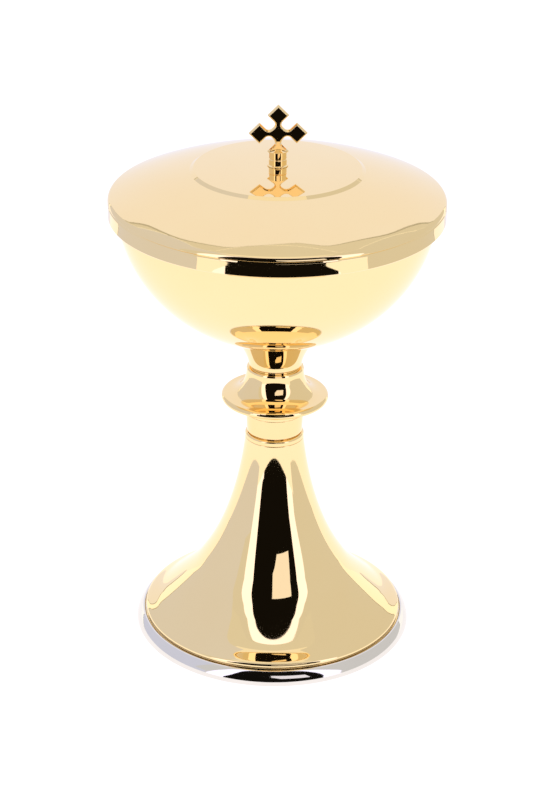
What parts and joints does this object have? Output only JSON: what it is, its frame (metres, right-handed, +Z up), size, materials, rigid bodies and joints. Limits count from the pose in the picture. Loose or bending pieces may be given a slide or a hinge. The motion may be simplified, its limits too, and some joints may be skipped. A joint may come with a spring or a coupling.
{
  "type": "ciborium vessel",
  "caption": "Covered liturgical cup: hemispherical bowl on a turned stem and trumpet foot, with a domed lift-off lid topped by a small cross.",
  "frame": {"origin": "centre of the base ring's resting plane, under the middle of the bowl", "axes": "+Z up along the axis the vessel is turned about; the cross lies close to the XZ plane and its face looks along -Y"},
  "size_m": [0.1392, 0.1392, 0.2387],
  "materials": {
    "gold_plate": "mirror polished gold plate on spun and turned brass",
    "silver_plate": "mirror polished silver plate on turned brass",
    "turned_brass": "plain turned brass, unplated",
    "fastener_steel": "zinc plated steel"
  },
  "bodies": {
    "vessel": {"base_ring": "silver_plate", "foot_shell": "gold_plate", "foot_top_ring": "gold_plate", "foot_clamp_washer": "turned_brass", "foot_lock_washer": "fastener_steel", "foot_nut": "fastener_steel", "tie_rod": "fastener_steel", "lower_joint_washer": "turned_brass", "lower_collar": "gold_plate", "knop": "gold_plate", "upper_joint_washer": "turned_brass", "neck_collar": "gold_plate", "bowl_boss": "turned_brass", "bowl_shell": "gold_plate"},
    "lid": {"lid_shell": "gold_plate", "lid_band": "gold_plate", "lid_locating_ring": "gold_plate", "finial_post": "gold_plate", "finial_cross": "gold_plate", "finial_stud": "turned_brass", "finial_washer": "turned_brass", "finial_lock_washer": "fastener_steel", "finial_nut": "turned_brass"}
  },
  "joints": [
    {"name": "lid_lift", "type": "slide", "parent": "vessel", "child": "lid", "axis": [0, 0, 1], "range_m": [0, 0.08]}
  ]
}
